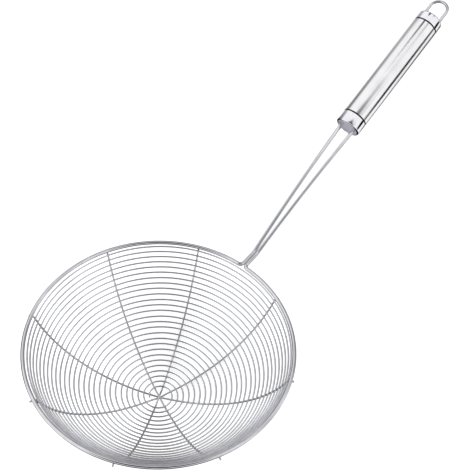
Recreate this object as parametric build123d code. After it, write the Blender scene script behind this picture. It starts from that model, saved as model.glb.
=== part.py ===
from build123d import *
import math
import os

# Spider skimmer: a round basket of spiral wire on four ribs, hung in a heavy rim wire whose two ends
# run out as a narrow V into a hollow handle with a rigid hanging loop.
#
# The pieces are drawn in the bowl's own frame: the rim wire's centre circle lies in the plane z = 0 with
# its middle at the origin, and the handle points to +X and rises. At the end every piece is laid down the
# way the skimmer rests on a table, on the bowl and on the lower edge of the rear cap. All sizes are mm.

# Driving dimensions

RIM_OUTER_D = 200.0          # outside of the rim wire
RIM_WIRE_D = 3.0
SPIRAL_WIRE_D = 1.2
RIB_WIRE_D = 1.4
LOOP_WIRE_D = 2.5

BOWL_SPHERE_R = 103.0        # sphere that the spiral's centreline lies on
BOWL_CENTRE_Z = 36.0         # height of that sphere's middle above the rim plane
SPIRAL_TURNS = 24
SPIRAL_INNER_ARC = 7.5       # free inner end, measured along the bowl from its lowest point
SPIRAL_INNER_AZIMUTH = 140.0

RIB_AZIMUTHS = (22.5, 65.0, 113.5, 157.0)
WELD_SINK = 0.01             # how far a welded crossing sinks into its neighbour
RIB_STACK_STEP = 0.8         # the four ribs cross at the bottom as a stack with this step
RIB_STACK_REACH = 7.2        # distance from the middle where each rib leaves the sphere for the stack
RIB_END_BEND_R = 2.0
RIB_TIP_OUT = 1.2            # how far the rib's tip stands out past the rim

NECK_GAP = 0.1               # between the two shank legs where they run side by side
NECK_BEND_R = 3.2
NECK_LEVEL_RUN = 1.0
NECK_LENGTH = 12.6
NECK_RISE = 6.5              # degrees above the rim plane
NECK_LIFT_R = 15.0
SHANK_RISE = 28.1            # degrees at the neck; the shank bows down to the handle's rise
SHANK_LENGTH = 125.2         # from the shank bend to the mouth of the front cap
SHANK_BEND_R = 8.0
SHANK_BOW_R = 900.0
HANDLE_RISE = 20.7
LEG_SPREAD = 1.88            # degrees that each leg turns away from the handle's axis

HANDLE_D = 21.0
FRONT_CAP_LENGTH = 9.7
GROOVE_WIDTH = 1.2
GROOVE_DEPTH = 0.4
GRIP_LENGTH = 99.0
REAR_CAP_LENGTH = 8.3
TUBE_WALL = 0.9
PRESS_CLEARANCE = 0.02
SPIGOT_LENGTH = 8.0
SPIGOT_BORE_D = 17.0
CAP_POCKET_D = 18.0          # open front of the front cap, and the hollow behind the rear cap's end wall
MOUTH_ROUND = 1.2
TAIL_ROUND = 1.5
PLUG_RECESS = 2.0
PLUG_THICKNESS = 5.0
LEG_PAST_PLUG = 5.0
END_WALL = 4.0

LOOP_LEG_SPACING = 14.8
LOOP_STRAIGHT = 10.85
LOOP_LEG_INSIDE = 3.0
BEAD_SIZE = 1.2              # leg and height of a weld bead round a wire
BEAD_LIP = 0.1               # what is left of the bead at its thin end
NECK_WELD_R = 0.75
NECK_WELD_DROP = 1.2         # below the legs' centres
NECK_WELD_LENGTH = 7.0

# Values that follow from them

RIM_R = (RIM_OUTER_D - RIM_WIRE_D) / 2
RIM_WIRE_R = RIM_WIRE_D / 2
SPIRAL_WIRE_R = SPIRAL_WIRE_D / 2
RIB_WIRE_R = RIB_WIRE_D / 2
LOOP_WIRE_R = LOOP_WIRE_D / 2
LEG_Y = RIM_WIRE_R + NECK_GAP / 2
HANDLE_R = HANDLE_D / 2
TUBE_BORE_R = HANDLE_R - TUBE_WALL
SPIGOT_R = TUBE_BORE_R - PRESS_CLEARANCE
SPIGOT_BORE_R = SPIGOT_BORE_D / 2
CAP_POCKET_R = CAP_POCKET_D / 2
LOOP_R = LOOP_LEG_SPACING / 2

# Stations along the handle's axis, measured from the mouth of the front cap
GRIP_START = FRONT_CAP_LENGTH + GROOVE_WIDTH
GRIP_END = GRIP_START + GRIP_LENGTH
REAR_CAP_START = GRIP_END + GROOVE_WIDTH
HANDLE_END = REAR_CAP_START + REAR_CAP_LENGTH
PLUG_BACK = PLUG_RECESS + PLUG_THICKNESS
END_WALL_INSIDE = HANDLE_END - END_WALL


def risen(degrees):
    """Direction in the plane y = 0 that rises by so many degrees toward the handle."""
    angle = math.radians(degrees)
    return Vector(math.cos(angle), 0, math.sin(angle))


# Points along the middle of neck and shank, and the handle's frame: X to the left, Y up, Z along the handle
NECK_ARC_X = math.sqrt((RIM_R + NECK_BEND_R) ** 2 - (LEG_Y + NECK_BEND_R) ** 2)
NECK_START = Vector(NECK_ARC_X, 0, 0)
NECK_LIFT = Vector(NECK_ARC_X + NECK_LEVEL_RUN, 0, 0)
SHANK_BEND = NECK_LIFT + risen(NECK_RISE) * NECK_LENGTH
SHANK_BOW = SHANK_BEND + risen(SHANK_RISE) * (SHANK_LENGTH / 2)
HANDLE_DIR = risen(HANDLE_RISE)
HANDLE_UP = risen(HANDLE_RISE + 90)
HANDLE_MOUTH = Plane(SHANK_BOW + HANDLE_DIR * (SHANK_LENGTH / 2), x_dir=(0, 1, 0), z_dir=HANDLE_DIR)


# Helpers for wires

def biarc(start, start_dir, end, end_dir):
    """Two arcs that leave start along start_dir and arrive at end along end_dir."""
    span = end - start
    both = start_dir + end_dir
    square = both.dot(both) - 4
    linear = -2 * span.dot(both)
    reach = (-linear - math.sqrt(linear ** 2 - 4 * square * span.dot(span))) / (2 * square)
    first_corner = start + start_dir * reach
    second_corner = end - end_dir * reach
    middle = (first_corner + second_corner) * 0.5
    middle_dir = (second_corner - first_corner).normalized()
    first = TangentArc(start, middle, tangent=start_dir)
    second = TangentArc(middle, end, tangent=middle_dir)
    return [first, second]


def wire_solid(edges, radius):
    """A round wire of the given radius along a chain of tangent edges."""
    path = Wire(edges)
    section = Plane(path @ 0, z_dir=path % 0) * Circle(radius)
    return sweep(section, path=path)


# Rim, neck and shank legs: one bent wire

def leg_point(side, middle, run):
    """Centre of one leg beside a point of the shank's middle line, run mm past the shank bend.

    side is +1 for the leg at +Y and -1 for the other."""
    return middle + Vector(0, side * (LEG_Y + run * math.tan(math.radians(LEG_SPREAD))), 0)


def leg_direction(side):
    """Direction of one leg where it enters the handle."""
    spread = math.radians(LEG_SPREAD)
    return HANDLE_DIR * math.cos(spread) + Vector(0, side * math.sin(spread), 0)


def leg_in_handle(side, station):
    """Centre of one leg at a station of the handle."""
    return leg_point(side, HANDLE_MOUTH.origin + HANDLE_DIR * station, SHANK_LENGTH + station)


def leg_points(side):
    return [
        leg_point(side, NECK_START, 0),
        leg_point(side, NECK_LIFT, 0),
        leg_point(side, SHANK_BEND, 0),
        leg_point(side, SHANK_BOW, SHANK_LENGTH / 2),
        leg_in_handle(side, PLUG_BACK + LEG_PAST_PLUG),
    ]


def frame_wire():
    neck_azimuth = math.asin((LEG_Y + NECK_BEND_R) / (RIM_R + NECK_BEND_R))
    rim_x = RIM_R * math.cos(neck_azimuth)
    rim_y = RIM_R * math.sin(neck_azimuth)
    right = leg_points(-1)
    left = leg_points(1)
    right_leg = FilletPolyline(*reversed(right), radius=[SHANK_BOW_R, SHANK_BEND_R, NECK_LIFT_R])
    left_leg = FilletPolyline(*left, radius=[NECK_LIFT_R, SHANK_BEND_R, SHANK_BOW_R])
    rim = ThreePointArc((rim_x, -rim_y, 0), (-RIM_R, 0, 0), (rim_x, rim_y, 0))
    right_neck = TangentArc(right[0], rim @ 0, tangent=(-1, 0, 0))
    left_neck = TangentArc(rim @ 1, left[0], tangent=rim % 1)
    edges = [*right_leg.edges(), right_neck, rim, left_neck, *left_leg.edges()]
    return wire_solid(edges, RIM_WIRE_R)


def neck_weld():
    """A bead in the groove under the two legs, along the neck."""
    along = risen(NECK_RISE)
    down = risen(NECK_RISE - 90)
    middle = NECK_LIFT + along * (NECK_LENGTH / 2)
    bead = Plane(middle + down * NECK_WELD_DROP, z_dir=along) * Cylinder(NECK_WELD_R, NECK_WELD_LENGTH)
    for side in (-1, 1):
        leg = Plane(leg_point(side, middle, 0), z_dir=along) * Cylinder(RIM_WIRE_R, NECK_LENGTH)
        bead = bead - leg
    return bead


# Spiral of the bowl

def spiral_end_arc():
    """Arc length at which the spiral's wire touches the rim wire."""
    touch = RIM_WIRE_R + SPIRAL_WIRE_R
    rim_distance = math.hypot(RIM_R, BOWL_CENTRE_Z)
    cosine = (rim_distance ** 2 + BOWL_SPHERE_R ** 2 - touch ** 2) / (2 * rim_distance * BOWL_SPHERE_R)
    rim_angle = math.atan2(RIM_R, BOWL_CENTRE_Z)
    return (rim_angle - math.acos(cosine)) * BOWL_SPHERE_R


def spiral_station(turn):
    """Place and direction of the spiral's centreline after so many turns from its inner end."""
    arc_per_turn = (spiral_end_arc() - SPIRAL_INNER_ARC) / SPIRAL_TURNS
    polar = (SPIRAL_INNER_ARC + arc_per_turn * turn) / BOWL_SPHERE_R
    azimuth = math.radians(SPIRAL_INNER_AZIMUTH) - 2 * math.pi * turn
    outward = Vector(math.cos(azimuth), math.sin(azimuth), 0)
    across = Vector(math.sin(azimuth), -math.cos(azimuth), 0)
    radius = BOWL_SPHERE_R * math.sin(polar)
    place = outward * radius + Vector(0, 0, BOWL_CENTRE_Z - BOWL_SPHERE_R * math.cos(polar))
    climb = outward * math.cos(polar) + Vector(0, 0, math.sin(polar))
    direction = climb * arc_per_turn + across * (2 * math.pi * radius)
    return place, direction.normalized()


def spiral_edges():
    edges = []
    quarters = SPIRAL_TURNS * 4
    place, direction = spiral_station(0)
    edges.append(Line(place - direction * SPIRAL_WIRE_D, place))
    for quarter in range(quarters):
        next_place, next_direction = spiral_station((quarter + 1) / 4)
        edges.extend(biarc(place, direction, next_place, next_direction))
        place, direction = next_place, next_direction
    edges.append(Line(place, place + direction * SPIRAL_WIRE_D))
    return edges


def print_spiral_gap(edges):
    """Least gap between neighbouring turns, measured on points of the arcs."""
    points = []
    for edge in edges[1:-1]:
        points.append(edge @ 0)
        points.append(edge @ 0.5)
    points_per_turn = len(points) // SPIRAL_TURNS
    least = BOWL_SPHERE_R
    for index, point in enumerate(points):
        for other in points[index + points_per_turn // 2:index + points_per_turn * 3 // 2]:
            least = min(least, (point - other).length)
    print("spiral: least gap to itself", round(least - SPIRAL_WIRE_D, 2), "mm")


def spiral_wire():
    edges = spiral_edges()
    print_spiral_gap(edges)
    return wire_solid(edges, SPIRAL_WIRE_R)


# Ribs under the spiral

def rib_wire(azimuth, level):
    """One rib right across the bowl; level is how far below the sphere it crosses the others."""
    sphere_r = BOWL_SPHERE_R + SPIRAL_WIRE_R + RIB_WIRE_R - WELD_SINK
    tip_z = -(RIM_WIRE_R + RIB_WIRE_R - WELD_SINK)
    across = Vector(math.cos(math.radians(azimuth)), math.sin(math.radians(azimuth)), 0)

    def at(along, z):
        return across * along + Vector(0, 0, z)

    bend_centre_z = tip_z - RIB_END_BEND_R
    bend_x = math.sqrt((sphere_r + RIB_END_BEND_R) ** 2 - (BOWL_CENTRE_Z - bend_centre_z) ** 2)
    share = sphere_r / (sphere_r + RIB_END_BEND_R)
    arc_end_x = bend_x * share
    arc_end_z = BOWL_CENTRE_Z - (BOWL_CENTRE_Z - bend_centre_z) * share
    stack_angle = math.asin(RIB_STACK_REACH / sphere_r)
    stack_z = BOWL_CENTRE_Z - sphere_r * math.cos(stack_angle)
    half_angle = (stack_angle + math.atan2(arc_end_x, BOWL_CENTRE_Z - arc_end_z)) / 2
    arc_middle_x = sphere_r * math.sin(half_angle)
    arc_middle_z = BOWL_CENTRE_Z - sphere_r * math.cos(half_angle)
    tip_x = RIM_OUTER_D / 2 + RIB_TIP_OUT
    bottom = at(0, BOWL_CENTRE_Z - sphere_r - level)
    slope = at(math.cos(stack_angle), math.sin(stack_angle))
    mirrored_slope = at(math.cos(stack_angle), -math.sin(stack_angle))
    edges = [
        Line(at(-tip_x, tip_z), at(-bend_x, tip_z)),
        TangentArc(at(-bend_x, tip_z), at(-arc_end_x, arc_end_z), tangent=across),
        ThreePointArc(
            at(-arc_end_x, arc_end_z), at(-arc_middle_x, arc_middle_z), at(-RIB_STACK_REACH, stack_z)
        ),
        *biarc(at(-RIB_STACK_REACH, stack_z), mirrored_slope, bottom, across),
        *biarc(bottom, across, at(RIB_STACK_REACH, stack_z), slope),
        ThreePointArc(
            at(RIB_STACK_REACH, stack_z), at(arc_middle_x, arc_middle_z), at(arc_end_x, arc_end_z)
        ),
    ]
    edges.append(TangentArc(edges[-1] @ 1, at(bend_x, tip_z), tangent=edges[-1] % 1))
    edges.append(Line(at(bend_x, tip_z), at(tip_x, tip_z)))
    return wire_solid(edges, RIB_WIRE_R)


def rib_wires():
    """The four ribs, each pressed a little way into the one above it where they cross."""
    ribs = []
    for index, azimuth in enumerate(RIB_AZIMUTHS):
        level = (index - (len(RIB_AZIMUTHS) - 1) / 2) * RIB_STACK_STEP
        rib = rib_wire(azimuth, level)
        if ribs:
            rib = rib - ribs[-1]
        ribs.append(rib)
    return ribs


# Handle: the pieces are turned about its axis, drawn as radius and station from the mouth

def turned(*outline):
    """A ring turned about the handle's axis from an outline of (radius, station) corners."""
    corners = [Vector(radius, 0, station) for radius, station in outline]
    face = make_face(Polyline(*corners, close=True))
    return revolve(face, Axis.Z)


def leg_cylinder(side, radius):
    """A straight round bar on the axis of one shank leg, long enough to pass the plug."""
    middle = leg_in_handle(side, PLUG_BACK)
    return Plane(middle, z_dir=leg_direction(side)) * Cylinder(radius, PLUG_THICKNESS * 4)


def front_cap():
    ring = turned(
        (CAP_POCKET_R, 0),
        (HANDLE_R, 0),
        (HANDLE_R, FRONT_CAP_LENGTH),
        (SPIGOT_R, FRONT_CAP_LENGTH),
        (SPIGOT_R, GRIP_START + SPIGOT_LENGTH),
        (SPIGOT_BORE_R, GRIP_START + SPIGOT_LENGTH),
        (SPIGOT_BORE_R, PLUG_BACK),
        (CAP_POCKET_R, PLUG_BACK),
    )
    lip = ring.edges().filter_by(GeomType.CIRCLE).group_by(Axis.Z)[0].sort_by(SortBy.RADIUS)[-1]
    return HANDLE_MOUTH * fillet(lip, MOUTH_ROUND)


def shank_plug():
    disc = turned(
        (0, PLUG_RECESS),
        (CAP_POCKET_R - PRESS_CLEARANCE, PLUG_RECESS),
        (CAP_POCKET_R - PRESS_CLEARANCE, PLUG_BACK),
        (0, PLUG_BACK),
    )
    plug = HANDLE_MOUTH * disc
    for side in (-1, 1):
        plug = plug - leg_cylinder(side, RIM_WIRE_R + PRESS_CLEARANCE)
    return plug


def plug_weld_beads():
    """A cone of weld metal round each leg on the back of the plug."""
    behind = HANDLE_MOUTH * turned(
        (0, PLUG_BACK),
        (SPIGOT_BORE_R, PLUG_BACK),
        (SPIGOT_BORE_R, GRIP_START),
        (0, GRIP_START),
    )
    beads = []
    for side in (-1, 1):
        foot = Plane(leg_in_handle(side, PLUG_BACK), z_dir=leg_direction(side))
        cone = Cone(RIM_WIRE_R + BEAD_SIZE, RIM_WIRE_R + BEAD_LIP, BEAD_SIZE)
        bead = foot * Pos(0, 0, BEAD_SIZE / 2) * cone
        beads.append((bead & behind) - leg_cylinder(side, RIM_WIRE_R))
    return beads


def spacer_ring(start):
    """The black ring at the bottom of a groove."""
    outer = HANDLE_R - GROOVE_DEPTH
    return HANDLE_MOUTH * turned(
        (TUBE_BORE_R, start),
        (outer, start),
        (outer, start + GROOVE_WIDTH),
        (TUBE_BORE_R, start + GROOVE_WIDTH),
    )


def grip_tube():
    return HANDLE_MOUTH * turned(
        (TUBE_BORE_R, GRIP_START),
        (HANDLE_R, GRIP_START),
        (HANDLE_R, GRIP_END),
        (TUBE_BORE_R, GRIP_END),
    )


def rear_cap():
    body = turned(
        (0, HANDLE_END),
        (HANDLE_R, HANDLE_END),
        (HANDLE_R, REAR_CAP_START),
        (SPIGOT_R, REAR_CAP_START),
        (SPIGOT_R, GRIP_END - SPIGOT_LENGTH),
        (SPIGOT_BORE_R, GRIP_END - SPIGOT_LENGTH),
        (SPIGOT_BORE_R, REAR_CAP_START),
        (CAP_POCKET_R, REAR_CAP_START),
        (CAP_POCKET_R, END_WALL_INSIDE),
        (0, END_WALL_INSIDE),
    )
    tail = body.edges().filter_by(GeomType.CIRCLE).group_by(Axis.Z)[-1].sort_by(SortBy.RADIUS)[-1]
    body = fillet(tail, TAIL_ROUND)
    for side in (-1, 1):
        hole = Pos(side * LOOP_R, 0, HANDLE_END) * Cylinder(LOOP_WIRE_R + PRESS_CLEARANCE, END_WALL * 3)
        body = body - hole
    return HANDLE_MOUTH * body


def hanging_loop():
    inside = END_WALL_INSIDE - LOOP_LEG_INSIDE
    turn = HANDLE_END + LOOP_STRAIGHT
    edges = [
        Line((-LOOP_R, 0, inside), (-LOOP_R, 0, turn)),
        ThreePointArc((-LOOP_R, 0, turn), (0, 0, turn + LOOP_R), (LOOP_R, 0, turn)),
        Line((LOOP_R, 0, turn), (LOOP_R, 0, inside)),
    ]
    return HANDLE_MOUTH * wire_solid(edges, LOOP_WIRE_R)


def loop_weld_beads():
    """A cone of weld metal round each leg of the loop, inside the rear cap."""
    middle = END_WALL_INSIDE - BEAD_SIZE / 2
    pocket = Pos(0, 0, middle) * Cylinder(CAP_POCKET_R, BEAD_SIZE)
    beads = []
    for side in (-1, 1):
        place = Pos(side * LOOP_R, 0, middle)
        cone = place * Cone(LOOP_WIRE_R + BEAD_LIP, LOOP_WIRE_R + BEAD_SIZE, BEAD_SIZE)
        leg = place * Cylinder(LOOP_WIRE_R, BEAD_SIZE)
        beads.append(HANDLE_MOUTH * ((cone & pocket) - leg))
    return beads


# How the skimmer lies on a table

def lying_tilt():
    """Angle in degrees by which the handle end drops until the rear cap touches the table."""
    tail_ring = HANDLE_MOUTH.origin + HANDLE_DIR * (HANDLE_END - TAIL_ROUND)
    tail_ring = tail_ring - HANDLE_UP * (HANDLE_R - TAIL_ROUND)
    reach = tail_ring - Vector(0, 0, BOWL_CENTRE_Z)
    drop = BOWL_SPHERE_R + SPIRAL_WIRE_R - TAIL_ROUND
    distance = math.hypot(reach.X, reach.Z)
    return math.degrees(math.asin(drop / distance) + math.atan2(reach.Z, reach.X))


def lying_place():
    """The turn and shift that put the part on the plane z = 0, with its box centred over the origin."""
    turn = Rot(0, lying_tilt(), 0)
    lean = math.radians(lying_tilt())
    rim_back = -RIM_R * math.cos(lean) - RIM_WIRE_R
    loop_tip = HANDLE_MOUTH.origin + HANDLE_DIR * (HANDLE_END + LOOP_STRAIGHT + LOOP_R)
    loop_front = loop_tip.X * math.cos(lean) + loop_tip.Z * math.sin(lean) + LOOP_WIRE_R
    height = BOWL_SPHERE_R + SPIRAL_WIRE_R - BOWL_CENTRE_Z * math.cos(lean)
    return Pos(-(rim_back + loop_front) / 2, 0, height) * turn


def main():
    os.makedirs("parts", exist_ok=True)
    pieces = {"frame_wire": frame_wire(), "spiral_wire": spiral_wire(), "neck_weld": neck_weld()}
    for number, rib in enumerate(rib_wires(), start=1):
        pieces[f"rib_wire_{number}"] = rib
    pieces["front_cap"] = front_cap()
    pieces["shank_plug"] = shank_plug()
    pieces["plug_weld_beads"] = plug_weld_beads()
    pieces["front_spacer_ring"] = spacer_ring(FRONT_CAP_LENGTH)
    pieces["grip_tube"] = grip_tube()
    pieces["rear_spacer_ring"] = spacer_ring(GRIP_END)
    pieces["rear_cap"] = rear_cap()
    pieces["hanging_loop"] = hanging_loop()
    pieces["loop_weld_beads"] = loop_weld_beads()

    place = lying_place()
    print("tilt", round(lying_tilt(), 3), "degrees, shift", place.position)
    for name, piece in pieces.items():
        solids = piece if isinstance(piece, list) else [piece]
        solids = [place * solid for group in solids for solid in group.solids()]
        shape = solids[0] if len(solids) == 1 else Compound(solids)
        export_step(shape, f"parts/{name}.step")


main()
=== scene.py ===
# %% [markdown]
# # Dressing a spider skimmer
#
# The skimmer is a kitchen tool of stainless wire and tube: a heavy wire bent into a rim and a
# two-legged shank, a bowl of thin spiral wire on four ribs, and a hollow round handle with a wire
# loop to hang it by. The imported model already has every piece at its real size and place. This
# script gives the pieces their looks: smooth wires with drawn and polished surfaces, caps with soft
# edges, a lapped grip and small welds.
#
# Everything is in metres. The pieces are worked out in millimetres in the bowl's own frame, where
# the rim is level and its middle is the origin, and are then laid down on the table as the real
# skimmer lies.

# %% Frame
import math

import bpy
import numpy as np
from mathutils import Matrix, Vector


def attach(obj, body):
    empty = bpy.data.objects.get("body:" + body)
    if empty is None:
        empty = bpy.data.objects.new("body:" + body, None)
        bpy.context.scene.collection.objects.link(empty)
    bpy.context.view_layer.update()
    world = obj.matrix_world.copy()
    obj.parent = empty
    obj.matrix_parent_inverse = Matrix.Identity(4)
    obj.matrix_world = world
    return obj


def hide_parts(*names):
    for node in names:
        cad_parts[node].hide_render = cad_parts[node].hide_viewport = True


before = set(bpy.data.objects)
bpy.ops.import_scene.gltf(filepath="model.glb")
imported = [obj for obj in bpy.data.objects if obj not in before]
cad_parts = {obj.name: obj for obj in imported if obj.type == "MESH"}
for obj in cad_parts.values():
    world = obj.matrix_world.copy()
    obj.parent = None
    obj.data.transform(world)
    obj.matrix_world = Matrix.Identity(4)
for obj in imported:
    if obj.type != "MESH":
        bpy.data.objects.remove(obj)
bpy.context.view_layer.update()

# %% [markdown]
# ## Sizes
#
# A wire is only convincing when its thickness, bends and spacing are the real ones, so all of them
# are named here once. The spiral has its real number of turns.

# %% Sizes in millimetres and degrees
MM = 0.001

RIM_OUTER_D = 200.0
RIM_WIRE_R = 1.5
SPIRAL_WIRE_R = 0.6
RIB_WIRE_R = 0.7
LOOP_WIRE_R = 1.25

BOWL_R = 103.0
BOWL_CENTRE_Z = 36.0
SPIRAL_TURNS = 26.65
SPIRAL_INNER_ARC = 7.5
SPIRAL_INNER_AZIMUTH = 140.0

RIB_AZIMUTHS = (22.5, 65.0, 113.5, 157.0)
RIB_STACK_STEP = 0.8
RIB_STACK_REACH = 7.2
RIB_END_BEND_R = 2.0
RIB_TIP_OUT = 1.2
WELD_SINK = 0.01

NECK_GAP = 0.1
NECK_BEND_R = 3.2
NECK_LEVEL_RUN = 1.0
NECK_LENGTH = 12.6
NECK_RISE = 6.5
NECK_LIFT_R = 15.0
SHANK_RISE = 28.1
SHANK_LENGTH = 125.2
SHANK_BEND_R = 8.0
SHANK_BOW_R = 900.0
HANDLE_RISE = 20.7
LEG_SPREAD = 1.88

HANDLE_R = 10.5
FRONT_CAP_LENGTH = 9.7
GROOVE_WIDTH = 1.2
GROOVE_DEPTH = 0.4
GRIP_LENGTH = 99.0
REAR_CAP_LENGTH = 8.3
TUBE_BORE_R = 9.6
SPIGOT_R = 9.58
SPIGOT_BORE_R = 8.5
SPIGOT_LENGTH = 8.0
CAP_POCKET_R = 9.0
MOUTH_ROUND = 1.2
TAIL_ROUND = 1.5
PLUG_BACK = 7.0
LEG_PAST_PLUG = 5.0
END_WALL = 4.0
LOOP_R = 7.4
LOOP_STRAIGHT = 10.85
LOOP_LEG_INSIDE = 3.0

RIM_R = RIM_OUTER_D / 2 - RIM_WIRE_R
LEG_Y = RIM_WIRE_R + NECK_GAP / 2
GRIP_START = FRONT_CAP_LENGTH + GROOVE_WIDTH
GRIP_END = GRIP_START + GRIP_LENGTH
REAR_CAP_START = GRIP_END + GROOVE_WIDTH
HANDLE_END = REAR_CAP_START + REAR_CAP_LENGTH
print("handle", HANDLE_END, "mm long over both caps")

# %% [markdown]
# ## The middle line of the neck and shank
#
# The two ends of the rim wire turn out side by side, run level, lift over the edge of a pot, rise
# steeply and bow over until they enter the handle. One chain of points in the plane of symmetry
# drives both legs and the handle, so that nothing can drift apart.

# %% Neck, shank and handle line


def risen(degrees):
    """Direction toward the handle that rises by so many degrees from the rim plane."""
    angle = math.radians(degrees)
    return np.array([math.cos(angle), 0.0, math.sin(angle)])


NECK_ARC_X = math.sqrt((RIM_R + NECK_BEND_R) ** 2 - (LEG_Y + NECK_BEND_R) ** 2)
NECK_START = np.array([NECK_ARC_X, 0.0, 0.0])
NECK_LIFT = NECK_START + risen(0) * NECK_LEVEL_RUN
SHANK_BEND = NECK_LIFT + risen(NECK_RISE) * NECK_LENGTH
SHANK_BOW = SHANK_BEND + risen(SHANK_RISE) * SHANK_LENGTH / 2
HANDLE_DIR = risen(HANDLE_RISE)
HANDLE_UP = risen(HANDLE_RISE + 90)
HANDLE_SIDE = np.array([0.0, 1.0, 0.0])
MOUTH = SHANK_BOW + HANDLE_DIR * SHANK_LENGTH / 2
print("mouth of the handle", np.round(MOUTH, 1), "mm from the middle of the rim")

# %% [markdown]
# ## Laying the skimmer down
#
# The bowl rests on its lowest turn of wire and the handle end drops until the rear cap's rounded
# edge meets the table. Both touch a plane, so the tilt follows from the two radii and the distance
# between them.

# %% Bowl frame to table


def tilt_on_table():
    """Angle at which the bowl's sphere and the rear cap's edge touch one plane."""
    edge = MOUTH + HANDLE_DIR * (HANDLE_END - TAIL_ROUND) - HANDLE_UP * (HANDLE_R - TAIL_ROUND)
    across, rise = edge[0], edge[2] - BOWL_CENTRE_Z
    drop = BOWL_R + SPIRAL_WIRE_R - TAIL_ROUND
    return math.asin(drop / math.hypot(across, rise)) + math.atan2(rise, across)


TILT = tilt_on_table()
LAY_TURN = np.array([
    [math.cos(TILT), 0.0, math.sin(TILT)],
    [0.0, 1.0, 0.0],
    [-math.sin(TILT), 0.0, math.cos(TILT)],
])
LOOP_TIP = MOUTH + HANDLE_DIR * (HANDLE_END + LOOP_STRAIGHT + LOOP_R)
BACK_X = -RIM_R * math.cos(TILT) - RIM_WIRE_R
FRONT_X = float((LAY_TURN @ LOOP_TIP)[0]) + LOOP_WIRE_R
LAY_SHIFT = np.array([
    -(BACK_X + FRONT_X) / 2,
    0.0,
    BOWL_R + SPIRAL_WIRE_R - BOWL_CENTRE_Z * math.cos(TILT),
])


def lay(points):
    """Bowl frame in millimetres to the table's frame in metres."""
    return (np.asarray(points) @ LAY_TURN.T + LAY_SHIFT) * MM


print("tilt", round(math.degrees(TILT), 3), "degrees")
print("loop tip at x", round(FRONT_X + LAY_SHIFT[0], 2), "mm")

# %% [markdown]
# ## Camera
#
# The photograph looks down at the bowl from the side, with the handle running to the upper right
# corner. A camera is a place, a direction and a roll, and here each is a plain value. The lens is
# set from the focal length in pixels of a 470 pixel wide picture.

# %% Camera
PICTURE_WIDTH = 470.0
FOCAL_PIXELS = 1164.43
SENSOR_WIDTH = 36.0
CAMERA_PLACE = (-0.16898, -0.31538, 0.86335)
CAMERA_AZIMUTH = -22.117
CAMERA_ELEVATION = 66.523
CAMERA_ROLL = 33.588
CAMERA_NEAR, CAMERA_FAR = 0.01, 20.0


def camera_turn(azimuth, elevation, roll):
    """Columns right, up and back of a camera that stands at azimuth and elevation and looks
    inward."""
    a, e, r = (math.radians(v) for v in (azimuth, elevation, roll))
    back = Vector((math.sin(a) * math.cos(e), -math.cos(a) * math.cos(e), math.sin(e)))
    level = Vector((0, 0, 1)).cross(back).normalized()
    upright = back.cross(level)
    right = level * math.cos(r) - upright * math.sin(r)
    up = level * math.sin(r) + upright * math.cos(r)
    return Matrix((right, up, back)).transposed().to_4x4()


camera_data = bpy.data.cameras.new("photo_camera")
camera_data.sensor_width = SENSOR_WIDTH
camera_data.lens = SENSOR_WIDTH * FOCAL_PIXELS / PICTURE_WIDTH
camera_data.clip_start = CAMERA_NEAR
camera_data.clip_end = CAMERA_FAR
camera = bpy.data.objects.new("photo_camera", camera_data)
bpy.context.scene.collection.objects.link(camera)
camera.matrix_world = Matrix.Translation(CAMERA_PLACE) @ camera_turn(
    CAMERA_AZIMUTH, CAMERA_ELEVATION, CAMERA_ROLL
)
bpy.context.scene.camera = camera
print("lens", round(camera_data.lens, 2), "mm")

# %% [markdown]
# ## Making a mesh from a grid
#
# Every wire, cap and ring is a grid of points: rows along the piece and columns round it. One
# helper turns such a grid into a closed, smooth mesh. Its UV map is in real millimetres, along the
# piece and round it, so that draw lines and lapping marks can be given their real spacing.

# %% Grid to mesh


def grid_faces(rows, columns, wrap_rows):
    """Corner indices of a grid's quads, whose columns close on themselves, and each corner's row
    and column. With wrap_rows, the last row closes on the first."""
    last = rows if wrap_rows else rows - 1
    i, j = np.meshgrid(np.arange(last), np.arange(columns), indexing="ij")
    below, beside = (i + 1) % rows, (j + 1) % columns
    quads = np.stack([
        i * columns + j, i * columns + beside, below * columns + beside, below * columns + j,
    ], -1)
    steps = np.stack([i, j, i, j + 1, i + 1, j + 1, i + 1, j], -1)
    return quads.reshape(-1, 4), steps.reshape(-1, 4, 2)


def pole_faces(rows, columns):
    """Triangles that close both end rows on a new point each, and each corner's row and column."""
    j = np.arange(columns)
    beside = (j + 1) % columns
    count = rows * columns
    first = np.stack([np.full(columns, count), beside, j], -1)
    end_row = count - columns
    last = np.stack([np.full(columns, count + 1), end_row + j, end_row + beside], -1)
    zero, end = np.zeros(columns), np.full(columns, rows - 1)
    steps = np.concatenate([
        np.stack([zero, j + 0.5, zero, j + 1, zero, j], -1),
        np.stack([end, j + 0.5, end, j, end, j + 1], -1),
    ])
    return np.concatenate([first, last]), steps.reshape(-1, 3, 2)


def signed_volume(points, faces):
    """Volume within closed faces, above zero when they point outwards: a sixth of corner dot (next
    corner cross the one after), summed over the triangles that fan out from each face's first
    corner."""
    total = 0.0
    for k in range(1, faces.shape[1] - 1):
        a, b, c = points[faces[:, 0]], points[faces[:, k]], points[faces[:, k + 1]]
        total += float((a * np.cross(b, c)).sum()) / 6
    return total


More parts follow.
